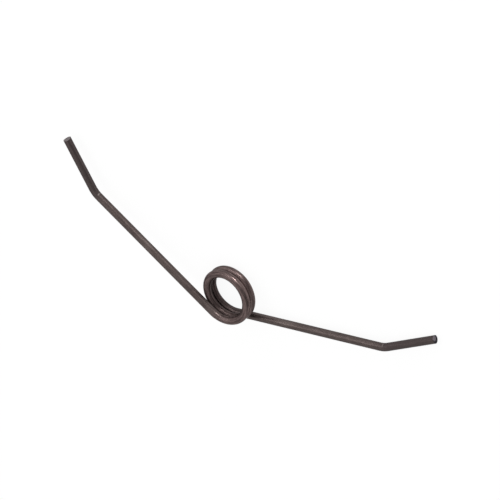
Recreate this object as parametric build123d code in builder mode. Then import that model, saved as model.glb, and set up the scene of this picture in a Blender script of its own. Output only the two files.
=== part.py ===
"""Double-arm torsion spring, wound left-handed from one length of round spring wire.

The coil is close-wound, two turns and a part turn. A straight leg runs off each end of it along
the helix's own tangent, and is bent once towards the other leg before its sheared end.

The wire is formed about its coil's axis and then laid down the way it comes to rest: Z points up
from the surface that it lies on, X runs from the upper leg's end to the lower leg's end, and the
origin is at the middle of the footprint. All sizes are in millimetres and degrees.
"""

from build123d import *
from math import copysign, radians, tan
from scipy.spatial import ConvexHull
import os

os.makedirs("parts", exist_ok=True)

# Wire
wire_diameter = 2.0

# Coil
coil_bore = 10.3  # clear diameter inside the coil
whole_turns = 2
free_angle = 138.0  # between the two legs, looking along the coil's axis
turn_gap = 0.03  # daylight between neighbouring turns

# Upper leg, which leaves the coil's top turn
upper_leg_length = 40.4  # along the centre line, from the coil to the corner of the bend
upper_bend_angle = 26.5
upper_tip_length = 15.18  # from the corner of the bend to the longest point of the end
upper_shear_lean = -2.0  # of the cut; positive leaves the wire longest on the bend's inner side
upper_shear_tilt = -5.0  # of the cut; positive leaves the wire longest on its upper side

# Lower leg, which leaves the coil's bottom turn
lower_leg_length = 41.2
lower_bend_angle = 22.0
lower_tip_length = 15.42
lower_shear_lean = 7.0
lower_shear_tilt = 6.0

# Both legs
bend_inner_radius = 5.0

# Worked out from the sizes above
wire_radius = wire_diameter / 2
coil_radius = (coil_bore + wire_diameter) / 2  # to the wire's centre line
coil_pitch = wire_diameter + turn_gap
coil_turns = whole_turns + (180 - free_angle) / 360  # the part turn opens the legs to their angle
bend_radius = bend_inner_radius + wire_radius


class Leg:
    """Centre line of a leg, from its tangent point on the coil through one bend to its end."""

    def __init__(
        self,
        start,
        direction,
        leg_length,
        turn,
        tip_length,
        shear_lean,
        shear_tilt,
    ):
        tip_direction = direction.rotate(Axis.Z, turn)
        self.start = start
        self.corner = start + direction * leg_length
        self.end = self.corner + tip_direction * tip_length
        # The blade goes through the wire with its longest side at the end of the centre line
        inward = tip_direction.rotate(Axis.Z, copysign(90, turn))
        slope = inward * tan(radians(shear_lean))
        slope += Vector(0, 0, tan(radians(shear_tilt)))
        self.cut = Plane(
            origin=self.end - tip_direction * wire_radius * slope.length,
            z_dir=tip_direction - slope,
        )


def resting_surface(centre_line, balance_point, x_dir):
    """Plane that the bent wire comes to rest on, coil axis up.

    A wire of one thickness touches the surface where its centre line would touch a surface one
    wire radius higher. Of the sides that the centre line can lie on, it rests on the one over
    which its balance point is lowest.
    """
    samples = 800
    points = [tuple(centre_line @ (step / samples)) for step in range(samples + 1)]
    undersides = [side for side in ConvexHull(points).equations if side[2] < -0.5]
    heights = [-(Vector(*side[:3]).dot(balance_point) + side[3]) for side in undersides]
    height = min(heights)
    down = Vector(*undersides[heights.index(height)][:3])
    return Plane(
        origin=balance_point + down * (height + wire_radius),
        x_dir=x_dir - down * x_dir.dot(down),
        z_dir=-down,
    )


# The wire, formed with its coil's axis on Z and the coil rising from the lower leg
with BuildPart() as formed_wire:
    with BuildLine() as centre_line:
        coil = Helix(coil_pitch, coil_pitch * coil_turns, coil_radius, lefthand=True)
        lower = Leg(
            coil @ 0,
            -(coil % 0),
            lower_leg_length,
            lower_bend_angle,
            lower_tip_length,
            lower_shear_lean,
            lower_shear_tilt,
        )
        upper = Leg(
            coil @ 1,
            coil % 1,
            upper_leg_length,
            -upper_bend_angle,
            upper_tip_length,
            upper_shear_lean,
            upper_shear_tilt,
        )
        FilletPolyline(lower.start, lower.corner, lower.end, radius=bend_radius)
        FilletPolyline(upper.start, upper.corner, upper.end, radius=bend_radius)
    with BuildSketch(Plane(origin=lower.end, z_dir=lower.corner - lower.end)):
        Circle(wire_radius)
    sweep()
    for leg in (lower, upper):
        with BuildSketch(leg.cut):
            Circle(wire_diameter)
        extrude(amount=wire_diameter, mode=Mode.SUBTRACT)

# The wire laid down, then slid so that the origin is at the middle of its footprint
surface = resting_surface(
    centre_line.wire(),
    formed_wire.part.center(CenterOf.MASS),
    lower.end - upper.end,
)
lying_wire = surface.to_local_coords(formed_wire.part)
footprint = lying_wire.bounding_box().center()

with BuildPart() as torsion_spring:
    add(lying_wire.moved(Location((-footprint.X, -footprint.Y, 0))))

torsion_spring.part.label = "torsion_spring"
export_step(torsion_spring.part, "parts/torsion_spring.step")
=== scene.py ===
from math import atan2, ceil, copysign, cos, degrees, exp, hypot, pi, radians, sin, tan
import bmesh
import bpy
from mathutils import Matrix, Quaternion, Vector, kdtree


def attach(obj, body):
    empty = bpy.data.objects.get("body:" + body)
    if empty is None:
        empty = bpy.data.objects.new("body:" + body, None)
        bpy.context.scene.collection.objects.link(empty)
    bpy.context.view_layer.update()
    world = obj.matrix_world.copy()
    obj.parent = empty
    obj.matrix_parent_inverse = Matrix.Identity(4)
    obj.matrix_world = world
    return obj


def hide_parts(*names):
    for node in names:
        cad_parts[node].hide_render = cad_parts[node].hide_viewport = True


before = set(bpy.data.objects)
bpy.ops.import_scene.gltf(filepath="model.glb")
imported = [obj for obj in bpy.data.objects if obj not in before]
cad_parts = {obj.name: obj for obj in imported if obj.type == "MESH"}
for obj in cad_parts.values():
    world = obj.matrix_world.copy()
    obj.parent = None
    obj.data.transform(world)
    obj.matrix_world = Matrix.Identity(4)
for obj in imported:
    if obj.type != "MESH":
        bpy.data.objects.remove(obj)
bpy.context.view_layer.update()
scene = bpy.context.scene
print("frame loaded, wire comes next")


# small helpers that every stage uses

def selectOnly(piece):
    bpy.ops.object.select_all(action="DESELECT")
    piece.select_set(True)
    bpy.context.view_layer.objects.active = piece


def pickVerts(piece, test):
    # in edit mode: selects the vertices that pass the test, and nothing else
    bpy.ops.mesh.select_mode(type="VERT")
    bpy.ops.mesh.select_all(action="DESELECT")
    mesh = bmesh.from_edit_mesh(piece.data)
    for vert in mesh.verts:
        if test(vert):
            vert.select = True
    mesh.select_flush_mode()
    bmesh.update_edit_mesh(piece.data)


def putInOrder(piece):
    # in edit mode: extruding leaves no fixed order, and random draws need the same one each run
    line = Vector((1, 0.62, 0.38))
    mesh = bmesh.from_edit_mesh(piece.data)
    mesh.verts.sort(key=lambda vert: vert.co.dot(line))
    mesh.faces.sort(key=lambda face: face.calc_center_median().dot(line))
    bmesh.update_edit_mesh(piece.data)


# the wire: sizes in metres and degrees, formed with the coil's axis on Z, then laid down

wire = {
    "radius": 0.000998,  # a hair under 1 mm, to lie inside the solid's facets
    "coilRadius": 0.00615,  # to the wire's middle
    "pitch": 0.00203,
    "turns": 2 + 42 / 360,
    "sides": 96,
    "ringsPerTurn": 132,
    "ringGap": 0.0006,  # between rings on the straight runs
    "endGap": 0.00008,  # and close to a cut end
    "bendRings": 30,
    "bendRadius": 0.006,
    "weldGap": 1e-7,
    "smoothAngle": 35.0,
    "lyingTurn": (3.13617, -5.26115, -68.70951),
    "lyingMove": (-0.00050203, -0.00669531, 0.00089920),
}

lowerLeg = {
    "length": 0.0412,
    "bend": 22.0,
    "tip": 0.01542,
    "lean": 7.0,  # of the cut, longest on the bend's inner side
    "tilt": 6.0,  # of the cut, longest on the wire's upper side
    "blade": 54.0,  # where the blade came in, from the upper side towards the inner side
    "cutFace": (0.65, 0.44),  # what it cut clean: a circle's size and shift to it, in radii
    "cutColour": (0.136, 0.119, 0.133, 1),
    # painted shade: the lower face's broken part is drawn near black
    "brokenColourAndShade": (0.018, 0.015, 0.021, 1),
}

upperLeg = {
    "length": 0.0404,
    "bend": -26.5,
    "tip": 0.01518,
    "lean": -2.0,
    "tilt": -5.0,
    "blade": 45.0,
    "cutFace": (0.92, 0.22),
    "cutColour": (0.174, 0.150, 0.153, 1),
    "brokenColourAndShade": (0.128, 0.109, 0.112, 1),
}

toolMarks = {  # light lines that the bending tool pressed across the wire, with a painted shade beside each
    "lower": {
        "distance": -0.04138,  # along the wire, from where the coil starts
        "turn": 66.0,  # round the wire, from its upper side to the bends' inner side
        "reach": 44.0,  # how far round it goes, each way
        "width": 0.00017,
        "depth": 0.000022,
        "shadeShift": 0.00053,  # the painted shade: how far past the line, and where round the wire
        "shadeTurn": 58.0,
    },
    "upper": {
        "distance": 0.12150,
        "turn": 76.0,
        "reach": 34.0,
        "width": 0.00019,
        "depth": 0.000026,
        "shadeShift": 0.00050,
        "shadeTurn": 53.0,
    },
}

# the painted shade beside each tool mark
grooveShade = {
    "width": 0.00025,  # along the wire
    "reach": 18.0,  # round it
}

cut = {  # places on a cut face are in wire radii
    "snap": 1e-8,  # a vertex this near the blade's plane isn't cut again
    "rings": (0.985, 0.965, 0.94, 0.90, 0.85, 0.79, 0.72, 0.64, 0.55, 0.45, 0.34, 0.22, 0.1),
    "flat": 1e-6,  # how near the blade's plane a vertex is to count as on it
    "brokenEdge": 0.95,  # nothing breaks outside this
    "brokenDepth": 0.00003,
    "brokenGrain": 0.000012,
    "rolledEdge": 0.96,
    "rolledSide": 0.45,  # how far towards the blade the edge starts to roll over
    "rollover": (0.00006, 0.00004),  # pulled back along the wire, and pressed in
    "rolloverReach": 0.00022,
}


def coilPoint(angle):
    return Vector((
        wire["coilRadius"] * cos(angle),
        -wire["coilRadius"] * sin(angle),
        wire["pitch"] * angle / (2 * pi),
    ))


def coilDirection(angle):
    return Vector((
        -wire["coilRadius"] * sin(angle),
        -wire["coilRadius"] * cos(angle),
        wire["pitch"] / (2 * pi),
    )).normalized()


coilSweep = 2 * pi * wire["turns"]
coilLength = wire["turns"] * hypot(2 * pi * wire["coilRadius"], wire["pitch"])


def legPlan(leg, start, direction):
    # where a leg's run, bend, tip and cut are, from its numbers
    turn = Quaternion((0, 0, 1), radians(leg["bend"]))
    tipDirection = turn @ direction
    corner = start + direction * leg["length"]
    angle = direction.angle(tipDirection)
    setBack = wire["bendRadius"] * tan(angle / 2)
    inward = (tipDirection - direction * direction.dot(tipDirection)).normalized()
    up = Vector((0, 0, 1))
    inner = Quaternion(up, copysign(pi / 2, leg["bend"])) @ tipDirection
    slope = inner * tan(radians(leg["lean"])) + up * tan(radians(leg["tilt"]))
    blade = radians(leg["blade"])
    end = corner + tipDirection * leg["tip"]
    return {
        "start": start,
        "direction": direction,
        "run": leg["length"] - setBack,
        "bendAngle": angle,
        "bendCentre": corner - direction * setBack + inward * wire["bendRadius"],
        "bendAxis": direction.cross(tipDirection).normalized(),
        "bendStart": corner - direction * setBack,
        "bendEnd": corner + tipDirection * setBack,
        "tipDirection": tipDirection,
        "tipRun": leg["tip"] - setBack,
        "end": end,
        "cutPoint": end - tipDirection * wire["radius"] * slope.length,
        "cutNormal": (tipDirection - slope).normalized(),
        "blade": up * cos(blade) + inner * sin(blade),
        "cutFace": leg["cutFace"],
    }


def pickRim(piece, centre):
    # the wire's open rim around a point
    pickVerts(piece, lambda vert: (vert.co - centre).length < 2 * wire["radius"]
              and any(edge.is_boundary for edge in vert.link_edges))


def extrudeRun(direction, length, gap):
    # straight wire, one ring after another, from the ring that is selected
    rings = max(1, ceil(length / gap))
    for _ in range(rings):
        bpy.ops.mesh.extrude_region_move(
            TRANSFORM_OT_translate={"value": direction * (length / rings)})


def growLeg(piece, plan):
    selectOnly(piece)
    bpy.ops.object.mode_set(mode="EDIT")
    pickRim(piece, plan["start"])
    extrudeRun(plan["direction"], plan["run"], wire["ringGap"])
    bpy.ops.mesh.spin(steps=wire["bendRings"], angle=-plan["bendAngle"], use_auto_merge=False,
                      center=plan["bendCentre"], axis=plan["bendAxis"])
    spare = wire["radius"]  # cut off again by the blade
    extrudeRun(plan["tipDirection"], plan["tipRun"] - spare, wire["ringGap"])
    extrudeRun(plan["tipDirection"], 2 * spare, wire["endGap"])
    pickVerts(piece, lambda vert: (vert.co - plan["end"]).length < 4 * spare)
    bpy.ops.mesh.bisect(plane_co=plan["cutPoint"], plane_no=plan["cutNormal"],
                        clear_outer=True, threshold=cut["snap"])
    bpy.ops.object.mode_set(mode="OBJECT")


def closeEnd(piece, plan):
    # the cut face in rings: rolled over where the blade came in, sunk and rough where it broke
    bpy.ops.object.mode_set(mode="EDIT")
    pickRim(piece, plan["end"])
    reached = 1
    for ring in cut["rings"]:
        bpy.ops.mesh.extrude_region_move(TRANSFORM_OT_translate={"value": (0, 0, 0)})
        bpy.ops.transform.resize(value=(ring / reached,) * 3, center_override=plan["cutPoint"])
        reached = ring
    bpy.ops.mesh.extrude_region_move(TRANSFORM_OT_translate={"value": (0, 0, 0)})
    bpy.ops.mesh.merge(type="CENTER")

    def acrossCut(vert):
        # how far from the cut's plane, and where on it in wire radii
        offset = vert.co - plan["cutPoint"]
        height = offset.dot(plan["cutNormal"])
        level = offset - plan["tipDirection"] * offset.dot(plan["tipDirection"])
        return abs(height), level / wire["radius"]

    def broken(vert):
        height, level = acrossCut(vert)
        size, shift = plan["cutFace"]
        return (height < cut["flat"] and level.length < cut["brokenEdge"]
                and (level - plan["blade"] * shift).length > size)

    def rolledOver(vert):
        height, level = acrossCut(vert)
        return (height < cut["flat"] and level.length > cut["rolledEdge"]
                and level.dot(plan["blade"]) > cut["rolledSide"])

    back, press = cut["rollover"]
    pickVerts(piece, rolledOver)
    bpy.ops.transform.translate(
        value=-plan["tipDirection"] * back - plan["blade"] * press, use_proportional_edit=True,
        proportional_edit_falloff="SMOOTH", proportional_size=cut["rolloverReach"])
    putInOrder(piece)
    pickVerts(piece, broken)
    bpy.ops.transform.translate(value=-plan["cutNormal"] * cut["brokenDepth"])
    bpy.ops.transform.vertex_random(offset=cut["brokenGrain"], uniform=0, normal=1, seed=4)
    bpy.ops.object.mode_set(mode="OBJECT")


def makeWire():
    slope = atan2(wire["pitch"], 2 * pi * wire["coilRadius"])
    bpy.ops.object.select_all(action="DESELECT")
    bpy.ops.mesh.primitive_circle_add(
        vertices=wire["sides"], radius=wire["radius"], fill_type="NOTHING",
        location=(wire["coilRadius"], 0, 0), rotation=(pi / 2 - slope, 0, 0))
    piece = bpy.context.object
    piece.name = "springWire"
    bpy.ops.object.transform_apply(location=True, rotation=True, scale=True)
    coil = piece.modifiers.new("coil", "SCREW")
    coil.axis = "Z"
    coil.angle = -coilSweep  # clockwise going up, a left-hand coil
    coil.screw_offset = wire["pitch"] * wire["turns"]
    coil.steps = coil.render_steps = round(wire["ringsPerTurn"] * wire["turns"])
    bpy.ops.object.modifier_apply(modifier="coil")
    return piece


def mapAlong(piece, lower, upper):
    # a point attribute that says where each vertex was when the wire was straight
    runGap, bendSteps, coilSteps = 0.0003, 40, 400
    spare = 0.001  # so that the path goes on past each cut
    path = []

    def addRun(start, direction, length, distance, sign):
        steps = max(2, ceil(length / runGap))
        for step in range(steps + 1):
            part = length * step / steps
            path.append((start + direction * part, direction * sign, distance + sign * part))

    def addLeg(plan, distance, sign):
        addRun(plan["start"], plan["direction"], plan["run"], distance, sign)
        distance += sign * plan["run"]
        arm = plan["bendStart"] - plan["bendCentre"]
        for step in range(1, bendSteps):
            angle = plan["bendAngle"] * step / bendSteps
            turn = Quaternion(plan["bendAxis"], angle)
            path.append((plan["bendCentre"] + turn @ arm, (turn @ plan["direction"]) * sign,
                         distance + sign * wire["bendRadius"] * angle))
        distance += sign * wire["bendRadius"] * plan["bendAngle"]
        addRun(plan["bendEnd"], plan["tipDirection"], plan["tipRun"] + spare, distance, sign)

    addLeg(lower, 0, -1)
    for step in range(1, coilSteps):
        angle = coilSweep * step / coilSteps
        path.append((coilPoint(angle), coilDirection(angle), coilLength * step / coilSteps))
    addLeg(upper, coilLength, 1)

    tree = kdtree.KDTree(len(path))
    for index, (point, _, _) in enumerate(path):
        tree.insert(point, index)
    tree.balance()
    along = piece.data.attributes.new("alongWire", "FLOAT_VECTOR", "POINT")
    for vert in piece.data.vertices:
        point, direction, distance = path[tree.find(vert.co)[1]]
        offset = vert.co - point
        distance += offset.dot(direction)
        axial = (Vector((0, 0, 1)) - direction * direction.z).normalized()
        inward = direction.cross(axial)
        along.data[vert.index].vector = (offset.dot(axial), offset.dot(inward), distance)


def pressMarks(piece):
    # each mark is a shallow groove; its depth, less a painted shade beside it, is kept for the
    # material
    farOff = 8  # in mark widths
    faintest = 0.01
    deepest = max(mark["depth"] for mark in toolMarks.values())
    grooves = {}
    shades = [0.0] * len(piece.data.vertices)
    for index, place in enumerate(piece.data.attributes["alongWire"].data):
        up, inward, distance = place.vector
        for mark in toolMarks.values():
            away = (distance - mark["distance"]) / mark["width"]
            if abs(away) > farOff:
                continue
            turn = degrees(atan2(inward, up))
            turned = (turn - mark["turn"]) / mark["reach"]
            depth = mark["depth"] / deepest * exp(-away * away) * max(0, 1 - turned ** 4)
            if depth > faintest:
                grooves[index] = depth
            away = (distance - mark["distance"] - mark["shadeShift"]) / grooveShade["width"]
            turned = (turn - mark["shadeTurn"]) / grooveShade["reach"]
            shades[index] = depth - exp(-away * away - turned * turned)
    group = piece.vertex_groups.new(name="pressed")
    for index, depth in grooves.items():
        group.add([index], depth, "REPLACE")
    selectOnly(piece)
    groove = piece.modifiers.new("groove", "DISPLACE")
    groove.vertex_group = "pressed"
    groove.direction = "NORMAL"
    groove.mid_level = 0
    groove.strength = -deepest
    bpy.ops.object.modifier_apply(modifier="groove")
    piece.data.attributes.new("toolMark", "FLOAT", "POINT").data.foreach_set("value", shades)


def layDown(piece):
    selectOnly(piece)
    piece.rotation_euler = [radians(turn) for turn in wire["lyingTurn"]]
    piece.location = wire["lyingMove"]
    bpy.ops.object.transform_apply(location=True, rotation=True, scale=True)


lowerPlan = legPlan(lowerLeg, coilPoint(0), -coilDirection(0))
upperPlan = legPlan(upperLeg, coilPoint(coilSweep), coilDirection(coilSweep))
springWire = makeWire()
print("coil wound")
for plan in (lowerPlan, upperPlan):
    growLeg(springWire, plan)
    closeEnd(springWire, plan)
print("legs bent and cut")
bpy.ops.object.mode_set(mode="EDIT")
bpy.ops.mesh.select_all(action="SELECT")
bpy.ops.mesh.remove_doubles(threshold=wire["weldGap"])
bpy.ops.mesh.normals_make_consistent(inside=False)
putInOrder(springWire)
bpy.ops.object.mode_set(mode="OBJECT")
mapAlong(springWire, lowerPlan, upperPlan)
pressMarks(springWire)
layDown(springWire)
bpy.ops.object.shade_smooth_by_angle(angle=radians(wire["smoothAngle"]))
print("wire laid down,", len(springWire.data.polygons), "faces")


# materials

def addNode(tree, kind, inputs=None, **settings):
    # a node with its settings; an input that is a socket is linked, any other is a value
    node = tree.nodes.new(kind)
    for name, value in settings.items():
        setattr(node, name, value)
    for name, value in (inputs or {}).items():
        if isinstance(value, bpy.types.NodeSocket):
            tree.links.new(value, node.inputs[name])
        else:
            node.inputs[name].default_value = value
    return node


def addMath(tree, operation, first, second=0.0, third=0.0):
    return addNode(tree, "ShaderNodeMath", {0: first, 1: second, 2: third},
                   operation=operation).outputs[0]


def addProduct(tree, *factors):
    product = factors[0]
    for factor in factors[1:]:
        product = addMath(tree, "MULTIPLY", product, factor)
    return product


def addFade(tree, share, first, second):
    # a number that goes from first to second as the share goes from 0 to 1
    return addMath(tree, "MULTIPLY_ADD", addMath(tree, "SUBTRACT", second, first), share, first)


def addDistance(tree, first, second):
    return addMath(tree, "SQRT", addMath(
        tree, "ADD", addProduct(tree, first, first), addProduct(tree, second, second)))


def addNoise(tree, vector, across, along, detail, rough, seed):
    # across and along are the noise's sizes in metres, across the wire and along it
    placed = addNode(tree, "ShaderNodeMapping", {
        "Vector": vector,
        "Location": (seed, seed * 0.37, seed * 1.71),
        "Scale": (1 / across, 1 / across, 1 / along),
    })
    noise = addNode(tree, "ShaderNodeTexNoise", {
        "Vector": placed.outputs[0], "Scale": 1.0, "Detail": detail, "Roughness": rough})
    return noise.outputs["Fac"]


def addRange(tree, value, low, high, toLow=0.0, toHigh=1.0):
    ranged = addNode(tree, "ShaderNodeMapRange", {
        "Value": value, "From Min": low, "From Max": high, "To Min": toLow, "To Max": toHigh},
        interpolation_type="SMOOTHSTEP")
    return ranged.outputs["Result"]


def addGrey(tree, level):
    return addNode(tree, "ShaderNodeCombineColor", {0: level, 1: level, 2: level}).outputs[0]


def mixColour(tree, share, first, second, blend="MIX"):
    return addNode(tree, "ShaderNodeMix", {0: share, 6: first, 7: second},
                   data_type="RGBA", blend_type=blend).outputs[2]


steel = {
    "oxide": (0.088, 0.068, 0.064, 1),
    "dark": (0.065, 0.050, 0.048, 1),
    "grey": (0.108, 0.086, 0.081, 1),
    "brown": (0.097, 0.066, 0.063, 1),
    "tip": (0.054, 0.042, 0.042, 1),
    "toolMark": (0.164, 0.141, 0.134, 1),
    "brownShare": 0.6,  # on the coil
    "tipShare": 0.7,
    # how dark the painted shade beside each tool mark gets
    "grooveShadeShare": 0.5,
    "coilFade": (0.004, -0.006),  # how far past the coil's ends its own look starts and is full
    "tipFade": (0.036, 0.043),  # and the tips'
    "turnFade": (0.045, 0.055),  # where along the wire the lower turn's painted shade becomes the upper's
    "metallic": 0.72,
    "roughness": (0.30, 0.42),
    "coilSheen": 0.05,  # how much smoother the coil is
    "specularTint": (0.4, 0.4, 0.4, 1),
    "bump": (0.08, 0.00003),  # strength and distance
    "heights": (0.85, 0.15),  # of the drawing lines and of the grain
    "noise": {  # sizes across and along the wire, detail, roughness, seed
        "mottle": (0.00045, 0.0016, 4, 0.6, 9.1),
        "cloud": (0.0014, 0.0085, 2, 0.5, 7.7),
        "streaks": (0.00042, 0.0065, 2, 0.5, 58.7),
        "lines": (0.00010, 0.0070, 3, 0.6, 1.3),
        "grain": (0.00020, 0.00034, 3, 0.6, 5.9),
    },
    "lineShades": (0.86, 1.14),
    "grainShades": (0.86, 1.14),
    "streakShades": (0.68, 1.30),  # on the coil alone, as the mottle's are
    "mottleShades": (0.78, 1.14),
    "legShades": (0.94, 1.02),  # lower and upper
    "paintedCoilInner": (0.76, 1.06),  # painted shade: how bright the inner side is on the coil's lower and upper turn
    # painted light: how much brighter the coil's outer side is drawn
    "paintedCoilOuter": 1.12,
    "coilSides": (-0.7, 0.7),  # where the outer side turns to the inner one, in wire radii
    "paintedRim": 1.5,  # painted reflection: how much brighter a turn is along its lower outer rim
    "paintedRimLow": (0.0, -0.8),  # where that starts and is full, down the wire, in wire radii
    "paintedRimOut": (0.3, -0.3),  # and outwards
}

cutSteel = {  # places on a cut face are in wire radii
    "edge": (0.988, 0.965),
    "ragged": 0.4,  # how far in and out the broken part's border runs
    "soft": 0.08,
    "scoring": 0.00005,  # the blade's scratches, in metres
    "scoreDetail": 2.0,
    "scoreShades": (0.84, 1.10),
}


def addCuts(tree, colour, upward, inward, distance, noise):
    # the bright cut faces, scored the way the blade went, and dull where each one broke; on the
    # lower leg that broken part is near black, a painted shade
    radius = wire["radius"]
    onCut = addRange(tree, addDistance(tree, upward, inward),
                     *(part * radius for part in cutSteel["edge"]))
    ragged, soft = cutSteel["ragged"] * radius, cutSteel["soft"] * radius
    uneven = addMath(tree, "MULTIPLY_ADD", noise, ragged, -ragged / 2)
    for leg, operation in ((lowerLeg, "LESS_THAN"), (upperLeg, "GREATER_THAN")):
        size, shift = (part * radius for part in leg["cutFace"])
        blade = radians(leg["blade"])
        reach = addDistance(tree, addMath(tree, "SUBTRACT", upward, shift * cos(blade)),
                            addMath(tree, "SUBTRACT", inward, shift * sin(blade)))
        broken = addRange(tree, addMath(tree, "ADD", reach, uneven), size - soft, size + soft)
        across = addMath(tree, "SUBTRACT", addProduct(tree, upward, sin(blade)),
                         addProduct(tree, inward, cos(blade)))
        scored = addNode(tree, "ShaderNodeTexNoise", {
            "W": addMath(tree, "DIVIDE", across, cutSteel["scoring"]), "Scale": 1.0,
            "Detail": cutSteel["scoreDetail"]}, noise_dimensions="1D").outputs["Fac"]
        level = addRange(tree, scored, 0.30, 0.70, *cutSteel["scoreShades"])
        face = mixColour(tree, 1.0, leg["cutColour"], addGrey(tree, level), "MULTIPLY")
        face = mixColour(tree, broken, face, leg["brokenColourAndShade"])
        here = addMath(tree, operation, distance, coilLength / 2)
        colour = mixColour(tree, addProduct(tree, onCut, here), colour, face)
    return colour


def addPaintedCoilLight(tree, upward, inward, distance):
    # painted light and shade: bright outside, less so inside, and a painted reflection along each
    # turn's lower outer rim, where it lies on the one below
    radius = wire["radius"]
    inner = addRange(tree, distance, *steel["turnFade"], *steel["paintedCoilInner"])
    facingIn = addRange(tree, inward, *(part * radius for part in steel["coilSides"]))
    shade = addFade(tree, facingIn, steel["paintedCoilOuter"], inner)
    # the painted reflection along each turn's lower outer rim
    low = addRange(tree, upward, *(part * radius for part in steel["paintedRimLow"]))
    out = addRange(tree, inward, *(part * radius for part in steel["paintedRimOut"]),
                   0, steel["paintedRim"])
    return addMath(tree, "MULTIPLY_ADD", shade, addProduct(tree, low, out), shade)


def makeSteel():
    material = bpy.data.materials.new("springSteel")
    material.use_nodes = True
    tree = material.node_tree
    tree.nodes.clear()
    place = addNode(tree, "ShaderNodeAttribute", attribute_name="alongWire").outputs["Vector"]
    markAndShade = addNode(tree, "ShaderNodeAttribute", attribute_name="toolMark").outputs["Fac"]
    upward, inward, distance = addNode(tree, "ShaderNodeSeparateXYZ", {0: place}).outputs
    mottle, cloud, streaks, lines, grain = (
        addNoise(tree, place, *numbers) for numbers in steel["noise"].values())

    # the oxide is browner on the coil, and the wire darker past the bends
    half = coilLength / 2
    away = addMath(tree, "ABSOLUTE", addMath(tree, "SUBTRACT", distance, half))
    onCoil = addRange(tree, away, *(half + part for part in steel["coilFade"]))
    onTip = addRange(tree, away, *(half + part for part in steel["tipFade"]))
    colour = mixColour(tree, addRange(tree, mottle, 0.34, 0.64), steel["dark"], steel["oxide"])
    colour = mixColour(tree, addRange(tree, cloud, 0.50, 0.72), colour, steel["grey"])
    colour = mixColour(tree, addProduct(tree, onCoil, steel["brownShare"]), colour,
                       steel["brown"])
    colour = mixColour(tree, addProduct(tree, onTip, steel["tipShare"]), colour, steel["tip"])

    # the coil's painted light and shade, with its streaks and mottle
    # noise runs from about 0.3 to 0.7, so that is where the shades start and end
    coilLightAndTone = addProduct(
        tree,
        addPaintedCoilLight(tree, upward, inward, distance),
        addRange(tree, streaks, 0.36, 0.64, *steel["streakShades"]),
        addRange(tree, mottle, 0.34, 0.66, *steel["mottleShades"]))
    shade = addProduct(
        tree,
        addRange(tree, lines, 0.30, 0.70, *steel["lineShades"]),
        addRange(tree, grain, 0.30, 0.70, *steel["grainShades"]),
        addFade(tree, onCoil, 1.0, coilLightAndTone),
        addRange(tree, distance, 0, coilLength, *steel["legShades"]))
    colour = mixColour(tree, 1.0, colour, addGrey(tree, shade), "MULTIPLY")

    # the tool's marks are light, with a painted shade beside each
    colour = mixColour(tree, addRange(tree, markAndShade, 0.1, 0.9), colour, steel["toolMark"])
    colour = mixColour(tree, addRange(tree, markAndShade, -0.05, -0.9, 0, steel["grooveShadeShare"]),
                       colour, steel["dark"])
    colour = addCuts(tree, colour, upward, inward, distance, mottle)

    rough = addRange(tree, addMath(tree, "ADD", lines, grain), 0.7, 1.3, *steel["roughness"])
    rough = addMath(tree, "MULTIPLY_ADD", onCoil, -steel["coilSheen"], rough)
    lineHeight, grainHeight = steel["heights"]
    height = addMath(tree, "ADD", addProduct(tree, lines, lineHeight),
                     addProduct(tree, grain, grainHeight))
    strength, depth = steel["bump"]
    bump = addNode(tree, "ShaderNodeBump", {
        "Strength": strength, "Distance": depth, "Height": height})
    shader = addNode(tree, "ShaderNodeBsdfPrincipled", {
        "Base Color": colour,
        "Metallic": steel["metallic"],
        "Roughness": rough,
        "Specular Tint": steel["specularTint"],
        "Normal": bump.outputs[0],
    })
    addNode(tree, "ShaderNodeOutputMaterial", {"Surface": shader.outputs["BSDF"]})
    return material


springWire.data.materials.append(makeSteel())

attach(springWire, "root")
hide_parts("torsion_spring")
print("wire finished in steel")


# floor, lights, white background and camera

studio = {
    "floorSize": 3.0,
    "floorColour": (0.80, 0.80, 0.80, 1),
    "floorShade": 0.10,  # how strongly the floor shows its own light and shadow
    "floorGlow": 0.914,
    "floorRoughness": 0.9,
    "ambient": 1.0,
    "darkSide": (0.865, 0.352, 0.358),  # the open side of the room
    "darkEdge": 0.5,  # the cosine at which it starts to darken
    "darkLevel": 0.40,
    "boxes": {  # name: direction to it, distance, width, power in watts
        "key": ((-0.096, 0.992, 0.083), 0.8, 0.12, 2.8),
        "fill": ((-0.510, 0.784, 0.355), 0.8, 0.25, 0.86),
        "side": ((-0.571, 0.318, 0.757), 0.8, 0.30, 0.79),
    },
}


def seenRays(tree):
    # 1 for what the camera sees, straight or mirrored in metal or glass
    rays = addNode(tree, "ShaderNodeLightPath").outputs
    mirrored = addMath(tree, "MAXIMUM", rays["Is Glossy Ray"], rays["Is Transmission Ray"])
    return rays["Is Camera Ray"], addMath(tree, "MAXIMUM", rays["Is Camera Ray"], mirrored)


def makeFloor():
    bpy.ops.object.select_all(action="DESELECT")
    bpy.ops.mesh.primitive_plane_add(size=studio["floorSize"])
    floor = bpy.context.object
    floor.name = "floor"
    material = bpy.data.materials.new("paleFloor")
    material.use_nodes = True
    tree = material.node_tree
    tree.nodes.clear()
    seen = seenRays(tree)[1]
    shade = studio["floorShade"]
    faded = tuple(part * shade for part in studio["floorColour"][:3]) + (1,)
    shader = addNode(tree, "ShaderNodeBsdfPrincipled", {
        "Base Color": mixColour(tree, seen, studio["floorColour"], faded),
        "Roughness": studio["floorRoughness"],
        "Specular IOR Level": 0.0,
        "Emission Color": (1, 1, 1, 1),
        "Emission Strength": addProduct(tree, seen, studio["floorGlow"]),
    })
    addNode(tree, "ShaderNodeOutputMaterial", {"Surface": shader.outputs["BSDF"]})
    floor.data.materials.append(material)


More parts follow.
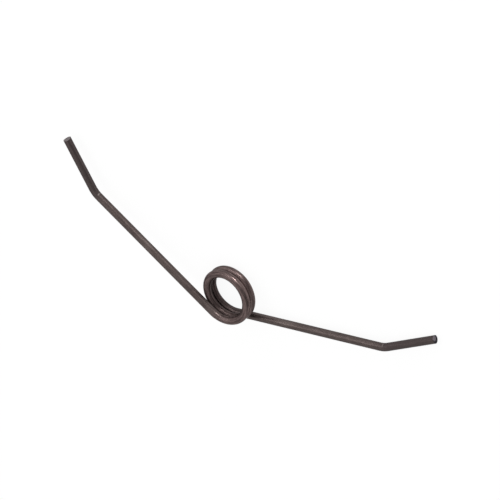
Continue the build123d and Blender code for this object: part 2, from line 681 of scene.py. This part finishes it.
def makeWorld():
    world = bpy.data.worlds.new("studioWorld")
    scene.world = world
    world.use_nodes = True
    tree = world.node_tree
    tree.nodes.clear()
    direct, seen = seenRays(tree)
    direction = addNode(tree, "ShaderNodeTexCoord").outputs["Generated"]
    facing = addNode(tree, "ShaderNodeVectorMath", {
        0: direction, 1: Vector(studio["darkSide"]).normalized()},
        operation="DOT_PRODUCT").outputs["Value"]
    room = addRange(tree, facing, studio["darkEdge"], 1.0, 1.0, studio["darkLevel"])
    white = addMath(tree, "MAXIMUM", room, direct)
    level = addFade(tree, seen, studio["ambient"], white)
    light = addNode(tree, "ShaderNodeBackground", {"Color": (1, 1, 1, 1), "Strength": level})
    addNode(tree, "ShaderNodeOutputWorld", {"Surface": light.outputs[0]})


def makeLights():
    for name, (direction, distance, width, power) in studio["boxes"].items():
        towards = Vector(direction).normalized()
        light = bpy.data.lights.new(name, "AREA")
        light.shape = "DISK"
        light.size = width
        light.energy = power
        box = bpy.data.objects.new(name, light)
        scene.collection.objects.link(box)
        box.location = towards * distance
        box.rotation_mode = "QUATERNION"
        box.rotation_quaternion = towards.to_track_quat("Z", "Y")


camera = {
    "aim": (-0.0014907, 0.0016421, -0.0054969),
    "azimuth": 158.5180,
    "elevation": 40.6717,
    "roll": -136.3349,
    "distance": 0.582537,
    "lens": 174.461,
    "sensor": 36.0,
    "clip": (0.01, 10.0),
}


def makeCamera():
    data = bpy.data.cameras.new("camera")
    data.lens = camera["lens"]
    data.sensor_width = camera["sensor"]
    data.clip_start, data.clip_end = camera["clip"]
    eye = bpy.data.objects.new("camera", data)
    scene.collection.objects.link(eye)
    azimuth, elevation = radians(camera["azimuth"]), radians(camera["elevation"])
    back = Vector((sin(azimuth) * cos(elevation), -cos(azimuth) * cos(elevation),
                   sin(elevation)))
    eye.location = Vector(camera["aim"]) + back * camera["distance"]
    eye.rotation_mode = "QUATERNION"
    eye.rotation_quaternion = (back.to_track_quat("Z", "Y")
                               @ Quaternion((0, 0, 1), radians(camera["roll"])))
    scene.camera = eye


makeFloor()
makeWorld()
makeLights()
makeCamera()
scene.view_settings.view_transform = "Standard"
print("studio set up")
